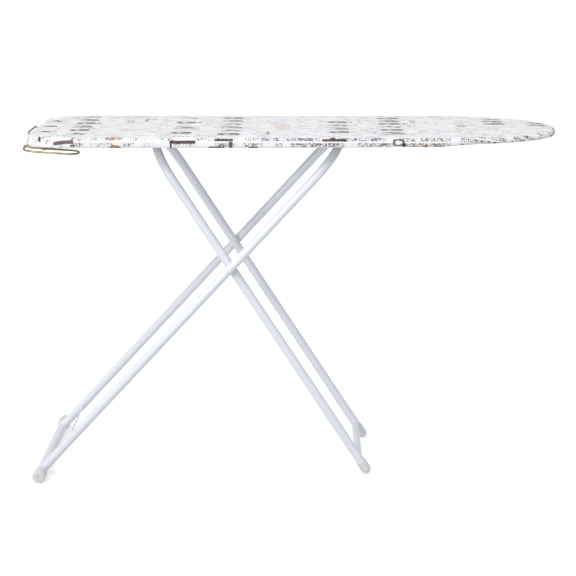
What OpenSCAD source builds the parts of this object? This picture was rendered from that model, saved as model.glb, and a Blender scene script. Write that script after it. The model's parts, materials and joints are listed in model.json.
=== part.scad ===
// Folding ironing board: a mesh steel top under a pad and a cloth cover, on two crossing
// U-shaped tube legs, with a pull-out wire rest for the iron at its square end.
// X runs from the square tail to the nose, Y across the board and Z up from the floor.
// The origin is on the floor, under the middle of the overall length with its iron rest.

/* [Board] */
// Length of the board, tail to nose
board_len = 1100; // [1080:5:1120]
// Width of the board over its cover
board_w = 330; // [324:2:336]
// Height of the ironing surface above the floor
stand_h = 749; // [745:1:755]
// Depth of the cover's skirt on the straight sides
skirt_h = 21; // [20:0.5:23]
// How much shorter the skirt is where it tucks under the nose
nose_tuck = 7.8; // [6:0.1:7.8]
// Length of the tapered nose
nose_len = 255; // [240:5:270]
// Roundness of the nose, where 2 is an ellipse
nose_power = 2.2; // [2:0.1:2.4]
// Length of each rounded tail corner along the board
corner_len = 100; // [90:5:110]
// Width of each rounded tail corner across the board
corner_w = 65; // [60:1:70]

/* [Legs] */
// Diameter of the leg tubes
tube_d = 19; // [18:0.5:19]
// Wall thickness of the leg tubes
tube_wall = 1.2; // [1:0.1:1.4]
// Radius of the bends at the top of both legs
bend_r = 80; // [76:1:84]
// Height of the leg tops' cross bars below the ironing surface
bar_drop = 36; // [36:0.5:37]
// Height of the rivets where the legs cross
pivot_h = 466.5; // [460:0.5:470]
// Distance from the tail to those rivets
pivot_from_tail = 415; // [412:1:418]
// Slope of the outer leg above the floor, in degrees
outer_slope = 47.5; // [47:0.1:48]
// Slope of the inner leg above the floor, in degrees
inner_slope = 57.4; // [57:0.1:58]
// Half the distance between the outer leg's tubes
outer_half = 129; // [129:0.5:131]
// Half the distance between the inner leg's tubes
inner_half = 108; // [107:0.5:108]
// Radius of the rivets where the legs cross
rivet_r = 4; // [3.5:0.1:4.5]

/* [Feet] */
// Diameter of the outer leg's foot tube
foot_d = 23; // [22:0.5:24]
// Outer width over the foot tube's end caps
foot_w = 350; // [346:2:356]
// Radius of those end caps
cap_r = 14; // [13.5:0.5:15]
// Radius of the round boots under the inner leg
boot_r = 11; // [10.8:0.1:12]
// Diameter of the brace tube between the boots
brace_d = 16; // [14:0.5:17]
// Height of that brace tube above the floor
brace_h = 36; // [36:1:44]
// Diameter of the thin stay rod above the foot tube
stay_d = 4; // [3:0.5:5]
// Distance of the stay rod from the rivets, along the leg
stay_reach = 534; // [530:1:550]

/* [Iron rest] */
// Diameter of the rest's wire
wire_d = 4; // [3.5:0.1:4]
// How far the rest's stop stands beyond the tail
rest_reach = 14; // [13:0.5:16]
// How far its loops run in under the board from the tail
loop_len = 110; // [105:1:115]
// Droop of the loops below the board, in degrees
loop_droop = 3.5; // [3:0.5:4]

/* [Hidden] */
$fn = 64;

// Board layers, from the ironing surface down
cover_t = 1.2;
pad_t = 5;
sheet_t = 1.5;
rim_h = 5.6;
rim_wall = 1.2;
rim_lip = 9;
hem_lip = 14;
cover_gap = 0.3;
x_tail = (rest_reach - board_len) / 2;
x_nose = x_tail + board_len;
x_taper = x_nose - nose_len;
z_skirt = stand_h - skirt_h;
z_pad = stand_h - cover_t - pad_t;
z_sheet = z_pad - sheet_t;
z_rim = z_pad - rim_h;
panel_inset = cover_t + cover_gap;

// Leg geometry, measured along each leg from the rivets where the legs cross
tube_r = tube_d / 2;
bar_z = stand_h - bar_drop;
pivot_x = x_tail + pivot_from_tail;
inner_up = (bar_z - pivot_h) / sin(inner_slope);
outer_up = (bar_z - pivot_h) / sin(outer_slope);
inner_down = (pivot_h - boot_r) / sin(inner_slope);
outer_down = (pivot_h - cap_r) / sin(outer_slope);
hinge_x = pivot_x - inner_up * cos(inner_slope);
bar_x = pivot_x + outer_up * cos(outer_slope);
run_fit = 0.05;
run_clearance = 0.3;
rivet_head_r = 7;
rivet_seat = 0.8;

// Track, rack lever and fixed hinge under the board
track_w = 50;
track_t = 1.5;
track_drop = 16;
track_x0 = hinge_x - 36;
track_x1 = bar_x + 290;
z_web = z_sheet - track_t;
z_flange = z_sheet - track_drop;
strap_t = 1.5;
strap_w = 28;
strap_r = tube_r + run_fit + strap_t;
ear_len = 13;
lever_x = bar_x + 268;
lever_z = z_flange + 6;
lever_t = 4;
lever_pin_r = 3;
rack_z = bar_z + tube_r + 0.5;
rack_h = 8;
notch_pitch = 36;
notch_count = 7;
tab_x = bar_x - 48;
tab_z = bar_z - 4;
tab_w = 6;
rivet_shank = 2;
rivet_rows = [track_x0 + 6, hinge_x + 60, bar_x - 158, lever_x - 150, track_x1 - 12];
rivet_spots = [for (x = rivet_rows, y = [-16, 16]) [x, y]];
strap_spots = [for (side = [-1, 1], y = [-8, 8]) [hinge_x + side * (strap_r + ear_len / 2), y]];

// Struts under the top panel
strut_h = 6;
strut_w = 15;
strut_wall = 1.2;
strut_end = 149;
strut_x = [x_tail + 180, x_tail + 420, x_tail + 640, x_tail + 830];
tail_strut_x = x_tail + 34;
tail_strut_end = 126;

// Iron rest, in a frame that droops towards the nose from below the tail's edge
wire_r = wire_d / 2;
rest_z = z_skirt - 7.5;
strand_y = 120;
loop_r = 22;
stop_y = 44;
stop_h = 19.5;
clip_s = 34;
clip_w = 8;
clip_wall = 1;
clip_fit = 0.3;
screw_r = 1.75;
screw_y = strand_y - 14;

// ---- Shared shapes ----

// Closed outline of the board's plan, drawn in by the distance g
function outline(g) = concat(
    [for (t = [-90 : 4.5 : 90])
        [x_taper + (nose_len - g) * pow(cos(t), 2 / nose_power),
         sign(t) * (board_w / 2 - g) * pow(abs(sin(t)), 2 / nose_power)]],
    [for (t = [90 : 7.5 : 180])
        [x_tail + corner_len + (corner_len - g) * cos(t),
         board_w / 2 - corner_w + (corner_w - g) * sin(t)]],
    [for (t = [180 : 7.5 : 270])
        [x_tail + corner_len + (corner_len - g) * cos(t),
         corner_w - board_w / 2 + (corner_w - g) * sin(t)]]);

module slab(g, z0, z1) {
    translate([0, 0, z0]) linear_extrude(z1 - z0) polygon(outline(g));
}

// Space below the skirt's edge, which climbs by nose_tuck where the taper starts
module below_skirt(rise) {
    z = z_skirt + rise;
    low = z - 40;
    translate([0, board_w, 0]) rotate([90, 0, 0]) linear_extrude(2 * board_w)
        polygon([[x_tail - 50, low], [x_nose + 50, low], [x_nose + 50, z + nose_tuck],
                 [x_taper + 80, z + nose_tuck], [x_taper, z], [x_tail - 50, z]]);
}

// Round bar along Y, centred at [x, 0, z]
module cross_bar(x, z, r, length) {
    translate([x, 0, z]) rotate([90, 0, 0]) cylinder(r = r, h = length, center = true);
}

// Domed rivet head standing on the XY plane
module dome(r, h) {
    ball_r = (r * r + h * h) / (2 * h);
    intersection() {
        translate([0, 0, h - ball_r]) sphere(r = ball_r);
        cylinder(r = r, h = h);
    }
}

// Puts a part, given near Y > 0, on both sides of the board
module both_sides() {
    children();
    mirror([0, 1, 0]) children();
}

// The legs' own frames: Z up along the leg, origin on the axis of the rivets
module on_inner_leg() {
    translate([pivot_x, 0, pivot_h]) rotate([0, inner_slope - 90, 0]) children();
}

module on_outer_leg() {
    translate([pivot_x, 0, pivot_h]) rotate([0, 90 - outer_slope, 0]) children();
}

// The iron rest's frame: X in under the board from the tail, drooping
module on_rest() {
    translate([x_tail, 0, rest_z]) rotate([0, loop_droop, 0]) children();
}

// Solid of radius r along a U-shaped leg that reaches up and down from the rivets
module bent_bar(half, up, down, r) {
    for (turn = [0, 180]) rotate(turn) {
        translate([0, half, -down]) rotate(90) cylinder(r = r, h = down + up - bend_r);
        translate([0, half - bend_r, up - bend_r]) rotate([90, 0, 90])
            rotate_extrude(angle = 90) translate([bend_r, 0]) circle(r = r);
    }
    cross_bar(0, up, r, 2 * (half - bend_r));
}

function unit(v) = v / norm(v);
function tangent(p, i) = unit(p[min(i + 1, len(p) - 1)] - p[max(i - 1, 0)]);
function across(n, t) = unit(n - (n * t) * t);

// Normals carried along a path without twisting
function normals(p, start) = [
    for (i = 0, n = across(start, tangent(p, 0)); i < len(p);
         i = i + 1, n = across(n, tangent(p, min(i, len(p) - 1)))) n];

// Path with each inner corner rounded off over the length given for it
function rounded(p, cut, steps) = concat(
    [p[0]],
    [for (i = [1 : len(p) - 2])
        let (a = p[i] + cut[i] * unit(p[i - 1] - p[i]), b = p[i] + cut[i] * unit(p[i + 1] - p[i]))
        for (k = [0 : steps])
            let (u = k / steps) (1 - u) * (1 - u) * a + 2 * u * (1 - u) * p[i] + u * u * b],
    [p[len(p) - 1]]);

// Round wire of radius r along a path; a closed one joins its last ring to its first
module wire(p, r, start, closed = false, sides = 10) {
    n = normals(p, start);
    m = len(p);
    points = [for (i = [0 : m - 1]) let (t = tangent(p, i), s = cross(t, n[i]))
              for (k = [0 : sides - 1]) let (a = 360 * k / sides)
              p[i] + r * cos(a) * n[i] + r * sin(a) * s];
    walls = [for (i = [0 : m - (closed ? 1 : 2)], k = [0 : sides - 1])
             let (j = (i + 1) % m, l = (k + 1) % sides)
             each [[i * sides + k, j * sides + k, j * sides + l],
                   [i * sides + k, j * sides + l, i * sides + l]]];
    ends = closed ? [] : [[for (k = [0 : sides - 1]) k],
                          [for (k = [sides - 1 : -1 : 0]) (m - 1) * sides + k]];
    polyhedron(points, concat(walls, ends));
}

// ---- Board ----

// Cloth cover: over the top, down the skirt and in under the rim as a hem
module cover() {
    color([0.9, 0.9, 0.93]) difference() {
        slab(0, z_skirt, stand_h);
        below_skirt(0);
        difference() {
            slab(cover_t, z_skirt, stand_h - cover_t);
            below_skirt(cover_t);
        }
        slab(hem_lip, z_skirt - 1, z_pad);
    }
}

// Foam between the panel and the cover
module pad() {
    color([0.95, 0.93, 0.86]) slab(panel_inset, z_pad, stand_h - cover_t);
}

// Elastic that lies in the hem and draws it in at the nose and the tail
module hem_cord() {
    cord_r = 1.5;
    function hem_z(x) = z_skirt + cover_t + cord_r + 0.2
        + nose_tuck * min(1, max(0, (x - x_taper) / 80));
    plan = outline(rim_lip + cord_r + 1);
    path = [for (q = plan) [q.x, q.y, hem_z(q.x)]];
    color([0.97, 0.97, 0.97]) wire(path, cord_r, [0, 0, 1], closed = true, sides = 8);
}

// Vent holes: long diamonds in staggered rows
module vents() {
    pitch = [46, 26];
    reach = [18, 8];
    rows = 5;
    tail_margin = 52;
    nose_margin = 105;
    for (i = [0 : floor(board_len / pitch.x)], j = [-rows : rows]) {
        x = x_tail + tail_margin + pitch.x * (i + 0.5 * abs(j % 2));
        in_nose = x < x_nose - nose_margin - 1.1 * abs(j * pitch.y);
        in_tail = x > x_tail + tail_margin + reach.x || abs(j) < rows - 1;
        if (in_nose && in_tail) translate([x, j * pitch.y])
            polygon([[-reach.x, 0], [0, -reach.y], [reach.x, 0], [0, reach.y]]);
    }
}

// Mesh sheet with a rolled rim, open inwards
module top_panel() {
    color([0.86, 0.88, 0.9]) difference() {
        slab(panel_inset, z_rim, z_pad);
        slab(panel_inset + rim_wall, z_rim + rim_wall, z_sheet);
        slab(rim_lip, z_rim - 1, z_sheet);
        translate([0, 0, z_sheet - 1]) linear_extrude(sheet_t + 2) vents();
    }
}

// Square tube lying along Y under the panel, from y0 to y1
module strut(x, y0, y1, w) {
    translate([x - w / 2, y0, z_sheet - strut_h]) difference() {
        cube([w, y1 - y0, strut_h]);
        translate([strut_wall, -1, strut_wall])
            cube([w - 2 * strut_wall, y1 - y0 + 2, strut_h - 2 * strut_wall]);
    }
}

// Strut across the tail, bored for the clips' screws
module tail_strut() {
    color([0.86, 0.88, 0.9]) difference() {
        strut(tail_strut_x, -tail_strut_end, tail_strut_end, strut_w);
        both_sides() translate([tail_strut_x, screw_y, z_sheet - strut_h - 1])
            cylinder(r = screw_r, h = strut_wall + 2);
    }
}

// Struts beside the track, in pairs
module cross_struts() {
    color([0.86, 0.88, 0.9]) both_sides()
        for (x = strut_x) strut(x, track_w / 2, strut_end, strut_w);
}

// Channel that opens downwards, with the hinge at its tail end and the rack lever inside
module leg_track() {
    color([0.78, 0.8, 0.83]) difference() {
        translate([track_x0, -track_w / 2, z_flange])
            cube([track_x1 - track_x0, track_w, track_drop]);
        translate([track_x0 - 1, track_t - track_w / 2, z_flange - 1])
            cube([track_x1 - track_x0 + 2, track_w - 2 * track_t, track_drop + 1 - track_t]);
        cross_bar(lever_x, lever_z, lever_pin_r, track_w + 2);
        for (q = concat(rivet_spots, strap_spots))
            translate([q.x, q.y, z_web - 1]) cylinder(r = rivet_shank, h = track_t + 2);
    }
}

// Domed rivet that hangs from the panel, with its head under whatever lies at height z
module hung_rivet(x, y, z) {
    translate([x, y, z]) cylinder(r = rivet_shank, h = z_sheet - z);
    translate([x, y, z]) mirror([0, 0, 1]) dome(1.8 * rivet_shank, 0.7 * rivet_shank);
}

// Rivets that hold the track up to the panel
module track_rivets() {
    color([0.7, 0.7, 0.72]) for (q = rivet_spots) hung_rivet(q.x, q.y, z_web);
}

// Saddle strap that carries the inner leg's cross bar
module hinge_strap() {
    color([0.78, 0.8, 0.83]) difference() {
        union() {
            cross_bar(hinge_x, bar_z, strap_r, strap_w);
            translate([hinge_x - strap_r, -strap_w / 2, bar_z])
                cube([2 * strap_r, strap_w, z_web - bar_z]);
            translate([hinge_x - strap_r - ear_len, -strap_w / 2, z_web - strap_t])
                cube([2 * (strap_r + ear_len), strap_w, strap_t]);
        }
        cross_bar(hinge_x, bar_z, tube_r + run_fit, strap_w + 2);
        translate([hinge_x - tube_r - run_fit, -strap_w, bar_z])
            cube([2 * (tube_r + run_fit), 2 * strap_w, z_web - bar_z + 1]);
        for (q = strap_spots)
            translate([q.x, q.y, z_web - strap_t - 1]) cylinder(r = rivet_shank, h = strap_t + 2);
    }
}

// Plastic bearing block between the track and the inner leg's cross bar
module hinge_block() {
    color([0.25, 0.26, 0.28]) difference() {
        translate([hinge_x - tube_r, -strap_w / 2, bar_z]) cube([2 * tube_r, strap_w, z_web - bar_z]);
        cross_bar(hinge_x, bar_z, tube_r + run_fit, strap_w + 2);
    }
}

// Rivets that hold the hinge's strap up to the track
module strap_rivets() {
    color([0.7, 0.7, 0.72]) for (q = strap_spots) hung_rivet(q.x, q.y, z_web - strap_t);
}

// Pin across the track with a domed head on each end
module lever_pin() {
    color([0.75, 0.75, 0.78]) {
        cross_bar(lever_x, lever_z, lever_pin_r, track_w);
        both_sides() translate([lever_x, track_w / 2, lever_z]) rotate([-90, 0, 0]) dome(4.5, 2);
    }
}

// Torsion spring round the lever pin; one end reaches up, the other along the lever
module lever_spring() {
    coil_r = 4.6;
    turns = 4;
    coil = [for (a = [0 : 30 : 360 * turns])
            [lever_x + coil_r * sin(a), 5 + 5 * a / (360 * turns), lever_z + coil_r * cos(a)]];
    path = concat([[lever_x - 14, 4.4, lever_z + coil_r]], coil, [[lever_x + 12, 10, lever_z + coil_r]]);
    color([0.72, 0.72, 0.74]) wire(path, 0.6, [0, 1, 0.2], sides = 8);
}

// Clip round the inner strand of each loop, hung from the tail strut
module rest_clips() {
    ring_r = wire_r + clip_fit;
    top = z_sheet - strut_h;
    color([0.75, 0.76, 0.78]) both_sides() difference() {
        union() {
            on_rest() translate([clip_s, strand_y, 0]) rotate([0, 90, 0])
                cylinder(r = ring_r + clip_wall, h = clip_w, center = true);
            translate([tail_strut_x - clip_w / 2, strand_y - ring_r - clip_wall, rest_z - 3])
                cube([clip_w, clip_wall, top - rest_z + 3]);
            translate([tail_strut_x - clip_w / 2, screw_y - 5, top - clip_wall])
                cube([clip_w, strand_y - ring_r - screw_y + 5, clip_wall]);
        }
        on_rest() translate([clip_s, strand_y, 0]) rotate([0, 90, 0])
            cylinder(r = ring_r, h = 3 * clip_w, center = true);
        translate([tail_strut_x, screw_y, top - 5]) cylinder(r = screw_r, h = 10);
    }
}

// Cross-slotted screws that hold the clips up to the tail strut
module clip_screws() {
    z = z_sheet - strut_h - clip_wall;
    color([0.6, 0.6, 0.62]) both_sides() translate([tail_strut_x, screw_y, z]) {
        cylinder(r = screw_r, h = clip_wall + strut_wall + 2.4);
        mirror([0, 0, 1]) difference() {
            dome(3.8, 2.2);
            for (turn = [0, 90]) rotate([0, 0, turn]) translate([-2, -0.4, 1.2]) cube([4, 0.8, 2]);
        }
    }
}

// ---- Height lever ----

// Notched strip over the outer leg's cross bar, with a tab at its tail end for the hand
module rack_lever() {
    z0 = rack_z;
    z1 = rack_z + rack_h;
    notch_r = 10;
    notch_depth = 3;
    color([0.72, 0.73, 0.76]) difference() {
        union() {
            translate([0, lever_t / 2, 0]) rotate([90, 0, 0]) linear_extrude(lever_t)
                polygon([[tab_x, tab_z], [tab_x + tab_w, tab_z], [tab_x + tab_w, z0],
                         [lever_x, z0 + 3], [lever_x, z1 + 3], [lever_x - 20, z1], [tab_x, z1]]);
            cross_bar(lever_x, lever_z, 2 * lever_pin_r, lever_t);
        }
        cross_bar(lever_x, lever_z, lever_pin_r + run_fit, lever_t + 2);
        for (i = [0 : notch_count - 1])
            cross_bar(bar_x + i * notch_pitch, z0 + notch_depth - notch_r, notch_r, lever_t + 2);
    }
}

// Moulded grip on the lever's tab, hollowed fore and aft for the fingertips
module lever_grip() {
    grip = [18, 22, 15];
    base = 3;
    hollow_r = 9;
    middle = tab_x + tab_w / 2;
    color([0.3, 0.31, 0.33]) difference() {
        translate([middle - grip.x / 2, -grip.y / 2, tab_z - base]) cube(grip);
        translate([tab_x, -lever_t / 2, tab_z]) cube([tab_w, lever_t, grip.z]);
        for (side = [-1, 1])
            cross_bar(middle + side * (grip.x / 2 + hollow_r - 2), tab_z + 3.5, hollow_r, grip.y + 2);
    }
}

// ---- Inner leg: hinged to the board, with its feet at the nose end ----

// Bent tube, bored where the rivets pass through
module inner_leg_tube() {
    color([0.9, 0.92, 0.95]) on_inner_leg() difference() {
        bent_bar(inner_half, inner_up, inner_down, tube_r);
        bent_bar(inner_half, inner_up, inner_down + 1, tube_r - tube_wall);
        cross_bar(0, 0, rivet_r + run_fit, 2 * outer_half);
    }
}

// Tube between the inner leg's tubes, shaped to fit against them
module inner_brace() {
    reach = (pivot_h - brace_h) / sin(inner_slope);
    color([0.9, 0.92, 0.95]) on_inner_leg() difference() {
        cross_bar(0, -reach, brace_d / 2, 2 * inner_half);
        cross_bar(0, -reach, brace_d / 2 - tube_wall, 2 * inner_half + 2);
        both_sides() translate([0, inner_half, -reach - 20]) cylinder(r = tube_r, h = 40);
    }
}

// Round-bottomed cup on each end of the inner leg's tubes
module inner_boots() {
    boot_len = 20;
    color([0.84, 0.85, 0.87]) on_inner_leg() both_sides()
        translate([0, inner_half, -inner_down]) difference() {
            union() {
                sphere(r = boot_r);
                cylinder(r = boot_r, h = boot_len);
            }
            cylinder(r = tube_r, h = boot_len + 1);
        }
}

// ---- Outer leg: crosses outside the inner leg, with its feet at the tail end ----

// Its top slides under the board; the far tube has three shallow crimps above the stay rod
module outer_leg_tube() {
    crimp_at = 500;
    crimp_pitch = 4;
    spot_face = outer_half + tube_r - rivet_seat;
    color([0.9, 0.92, 0.95]) on_outer_leg() difference() {
        bent_bar(outer_half, outer_up, outer_down, tube_r);
        bent_bar(outer_half, outer_up, outer_down + 1, tube_r - tube_wall);
        cross_bar(0, -outer_down, foot_d / 2, foot_w);
        cross_bar(0, 0, rivet_r, 2 * outer_half + tube_d + 2);
        both_sides() translate([0, spot_face, 0]) rotate([-90, 0, 0])
            cylinder(r = rivet_head_r + 0.1, h = 3);
        translate([0, outer_half, -crimp_at]) for (i = [0 : 2])
            translate([0, 0, crimp_pitch * i]) rotate_extrude()
                translate([tube_r, 0]) circle(r = 0.45);
    }
}

// Tube across the outer leg's ends, which are notched to fit round it
module outer_foot_tube() {
    color([0.9, 0.92, 0.95]) on_outer_leg() difference() {
        cross_bar(0, -outer_down, foot_d / 2, foot_w - 10);
        cross_bar(0, -outer_down, foot_d / 2 - tube_wall, foot_w);
    }
}

// Plastic cup on each end of the foot tube, with a rolled collar and a dimpled face
module outer_foot_caps() {
    cap_len = 28;
    edge = 3;
    dimple_r = 4.5;
    color([0.84, 0.85, 0.87]) on_outer_leg() both_sides()
        translate([0, foot_w / 2 - cap_len, -outer_down]) rotate([-90, 0, 0]) difference() {
            union() {
                cylinder(r = cap_r, h = cap_len - edge);
                translate([0, 0, cap_len - edge]) cylinder(r = cap_r - edge, h = edge);
                translate([0, 0, cap_len - edge]) rotate_extrude()
                    translate([cap_r - edge, 0]) circle(r = edge);
            }
            translate([0, 0, -1]) cylinder(r = foot_d / 2, h = cap_len - 5 + 1);
            translate([0, 0, cap_len - 1.5]) cylinder(r = dimple_r, h = 3);
        }
}

// Thin rod that braces the outer leg's tubes just above the foot tube
module stay_rod() {
    color([0.9, 0.92, 0.95]) on_outer_leg() difference() {
        cross_bar(0, -stay_reach, stay_d / 2, 2 * outer_half);
        both_sides() translate([0, outer_half, -stay_reach - 10]) cylinder(r = tube_r, h = 20);
    }
}

// Plastic sleeves on the outer leg's cross bar, which run along under the track
module slide_sleeves() {
    color([0.25, 0.26, 0.28]) on_outer_leg() both_sides()
        translate([0, 14, outer_up]) rotate([-90, 0, 0]) difference() {
            cylinder(r = tube_r + 2, h = 30);
            translate([0, 0, -1]) cylinder(r = tube_r, h = 32);
        }
}

// Rivet through both tubes on each side, with a dimpled head outside
module pivot_rivets() {
    inside = inner_half - tube_r - run_clearance;
    outside = outer_half + tube_r - rivet_seat;
    color([0.86, 0.88, 0.9]) on_outer_leg() both_sides() {
        translate([0, inside, 0]) rotate([-90, 0, 0]) cylinder(r = rivet_r, h = outside - inside);
        translate([0, inside, 0]) rotate([90, 0, 0]) dome(6, 2.5);
        translate([0, outside, 0]) rotate([-90, 0, 0]) difference() {
            dome(rivet_head_r, 3.6);
            translate([0, 0, 2.8]) cylinder(r = 2.6, h = 2);
        }
    }
}

// Spacers on the rivets, between the inner and the outer tube
module pivot_washers() {
    washer_t = outer_half - inner_half - 2 * tube_r - 0.5;
    color([0.8, 0.8, 0.82]) on_outer_leg() both_sides()
        translate([0, outer_half - tube_r - washer_t, 0]) rotate([-90, 0, 0]) difference() {
            cylinder(r = 8, h = washer_t);
            translate([0, 0, -1]) cylinder(r = rivet_r, h = washer_t + 2);
        }
}

// ---- Iron rest ----

// One bent wire: a loop on each side, joined past the tail by a raised stop
module iron_rest_wire() {
    run_s = -wire_r - 3;
    stop_s = wire_r - rest_reach;
    outer_y = strand_y + 2 * loop_r;
    lift = 2.1 * wire_r;
    corner_cut = 38;
    half = [[run_s - 1.5, strand_y, lift], [12, strand_y, 0], [loop_len, strand_y, 0],
            [loop_len, outer_y, 0], [run_s, outer_y, 0], [run_s, stop_y + 4, 0],
            [stop_s, stop_y, stop_h]];
    cut = [0, 4, loop_r - 0.5, loop_r - 0.5, corner_cut, 4, 6];
    far = [for (i = [len(half) - 1 : -1 : 0]) half[i]];
    near = [for (q = half) [q.x, -q.y, q.z]];
    cuts = concat(cut, [for (i = [len(cut) - 1 : -1 : 0]) cut[i]]);
    color([0.45, 0.4, 0.28]) on_rest()
        wire(rounded(concat(near, far), cuts, 5), wire_r, [0, 0, 1], sides = 12);
}

cover();
pad();
hem_cord();
top_panel();
tail_strut();
cross_struts();
leg_track();
track_rivets();
hinge_strap();
hinge_block();
strap_rivets();
lever_pin();
lever_spring();
rest_clips();
clip_screws();
rack_lever();
lever_grip();
inner_leg_tube();
inner_brace();
inner_boots();
outer_leg_tube();
outer_foot_tube();
outer_foot_caps();
stay_rod();
slide_sleeves();
pivot_rivets();
pivot_washers();
iron_rest_wire();
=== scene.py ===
"""Looks of the folding ironing board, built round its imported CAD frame.

Metres throughout: X runs from the square tail to the nose, Y across the board, Z up from the floor.
"""

import json
import math

import bmesh
import bpy
from mathutils import Matrix, Vector, noise


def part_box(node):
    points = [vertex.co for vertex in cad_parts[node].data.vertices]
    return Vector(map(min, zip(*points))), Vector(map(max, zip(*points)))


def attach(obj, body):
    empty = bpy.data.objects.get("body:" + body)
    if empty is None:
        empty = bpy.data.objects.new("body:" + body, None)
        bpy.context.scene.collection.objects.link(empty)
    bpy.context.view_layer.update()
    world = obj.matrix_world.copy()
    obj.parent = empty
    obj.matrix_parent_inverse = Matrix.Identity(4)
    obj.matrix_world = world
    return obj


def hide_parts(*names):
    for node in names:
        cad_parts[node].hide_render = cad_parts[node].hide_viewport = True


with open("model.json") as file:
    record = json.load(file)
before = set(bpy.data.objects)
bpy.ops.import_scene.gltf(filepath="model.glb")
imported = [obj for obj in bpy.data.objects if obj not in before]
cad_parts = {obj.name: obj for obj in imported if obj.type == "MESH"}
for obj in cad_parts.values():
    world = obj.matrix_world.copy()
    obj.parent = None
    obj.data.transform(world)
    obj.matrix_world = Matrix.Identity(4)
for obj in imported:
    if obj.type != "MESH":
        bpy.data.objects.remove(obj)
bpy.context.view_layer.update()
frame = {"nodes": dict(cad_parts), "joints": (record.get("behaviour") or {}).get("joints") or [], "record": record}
MM = 0.001

# ---- The board's plan and section, read from the frame where it can be ----

LOW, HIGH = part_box("cover")
TAIL_X, NOSE_X, HALF_W, TOP_Z, SKIRT_Z = LOW.x, HIGH.x, HIGH.y, HIGH.z, LOW.z
NOSE_LEN, NOSE_POWER = 255 * MM, 2.2
CORNER_LEN, CORNER_W = 100 * MM, 65 * MM
TAPER_X = NOSE_X - NOSE_LEN
PAD_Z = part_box("pad")[0].z
RIM_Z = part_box("top_panel")[0].z
SHEET_T = 1.5 * MM
PANEL_INSET = 1.5 * MM
CROWN = 1.8 * MM        # how far the top falls towards its edges
NOSE_LIFT = 7.8 * MM    # how far the hem climbs where it is drawn in under the nose
TAIL_FLARE = 5 * MM     # how far the slack skirt stands off the tail's corners
PRINT_START = 14 * MM   # where the print's own zero lies along X

# ---- The legs' frames, with their origin on the rivets where the legs cross ----

PIVOT = Vector(next(j["pos_m"] for j in frame["joints"] if j["name"] == "leg_cross"))
INNER_SLOPE, OUTER_SLOPE = math.radians(57.4), math.radians(47.5)
ON_INNER = Matrix.Translation(PIVOT) @ Matrix.Rotation(INNER_SLOPE - math.pi / 2, 4, "Y")
ON_OUTER = Matrix.Translation(PIVOT) @ Matrix.Rotation(math.pi / 2 - OUTER_SLOPE, 4, "Y")
INNER_HALF, OUTER_HALF = 108 * MM, 129 * MM
TUBE_R, BRACE_R, STAY_R, FOOT_R = 9.5 * MM, 8 * MM, 2 * MM, 11.5 * MM
BRACE_Z, FOOT_Z = 36 * MM, 14 * MM
# How far down its leg's frame each cross piece lies
BRACE_REACH = (PIVOT.z - BRACE_Z) / math.sin(INNER_SLOPE)
FOOT_REACH = (PIVOT.z - FOOT_Z) / math.sin(OUTER_SLOPE)
STAY_REACH = 534 * MM


def smooth_step(a, b, x):
    t = min(1, max(0, (x - a) / (b - a)))
    return t * t * (3 - 2 * t)


# ---- Node materials ----


class Shader:
    """A material's node tree, with short calls to add nodes and join them."""

    def __init__(self, name):
        self.material = bpy.data.materials.new(name)
        self.material.use_nodes = True
        self.tree = self.material.node_tree
        self.surface = self.tree.nodes["Principled BSDF"]

    def node(self, kind, inputs=None, **settings):
        made = self.tree.nodes.new("ShaderNode" + kind)
        for key, value in settings.items():
            setattr(made, key, value)
        for key, value in (inputs or {}).items():
            self.give(made.inputs[key], value)
        return made

    def give(self, socket, value):
        if isinstance(value, bpy.types.NodeSocket):
            self.tree.links.new(value, socket)
        else:
            socket.default_value = value

    def set(self, **values):
        for key, value in values.items():
            self.give(self.surface.inputs[key.replace("_", " ")], value)

    def math(self, operation, *values):
        return self.node("Math", dict(enumerate(values)), operation=operation).outputs[0]

    def vector(self, operation, *values):
        return self.node("VectorMath", dict(enumerate(values)), operation=operation).outputs[0]

    def place(self, scale=(1, 1, 1)):
        """The point in the object's own metres, scaled."""
        point = self.node("TexCoord").outputs["Object"]
        return self.vector("MULTIPLY", point, scale)

    def noise(self, where, scale, detail=3, rough=0.5):
        made = self.node("TexNoise", {"Vector": where, "Scale": scale, "Detail": detail, "Roughness": rough})
        return made.outputs["Fac"]

    def ramp(self, value, low, high, a=0.0, b=1.0):
        made = self.node("MapRange", {0: value, 1: low, 2: high, 3: a, 4: b}, interpolation_type="SMOOTHSTEP")
        return made.outputs[0]

    def mix(self, share, a, b, blend="MIX"):
        made = self.node("Mix", {0: share, 6: a, 7: b}, data_type="RGBA", blend_type=blend)
        return made.outputs[2]

    def bump(self, height, distance, strength=1.0, normal=None):
        made = self.node("Bump", {"Height": height, "Distance": distance, "Strength": strength})
        if normal is not None:
            self.give(made.inputs["Normal"], normal)
        return made.outputs["Normal"]


def rgb(*levels):
    return (*levels, 1.0)


def painted(name, colour, shade, roughness=0.3):
    """Powder coat: an orange-peel skin, slightly uneven in tone, scuffed here and there."""
    s = Shader(name)
    where = s.place()
    tone = s.noise(where, 9, 4)
    scuffs = s.ramp(s.noise(s.place((1, 1, 0.35)), 60, 6, 0.65), 0.66, 0.74)
    coat = s.mix(tone, rgb(*colour), rgb(*shade))
    s.set(Base_Color=s.mix(s.math("MULTIPLY", scuffs, 0.14), coat, rgb(0.42, 0.43, 0.44)))
    s.set(Roughness=s.ramp(s.noise(where, 35, 4), 0.2, 0.8, roughness - 0.05, roughness + 0.12))
    s.set(Specular_IOR_Level=0.5, Coat_Weight=0.2, Coat_Roughness=0.18)
    peel = s.noise(where, 700, 2)
    s.set(Normal=s.bump(peel, 0.09 * MM, 0.35))
    return s.material


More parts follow.
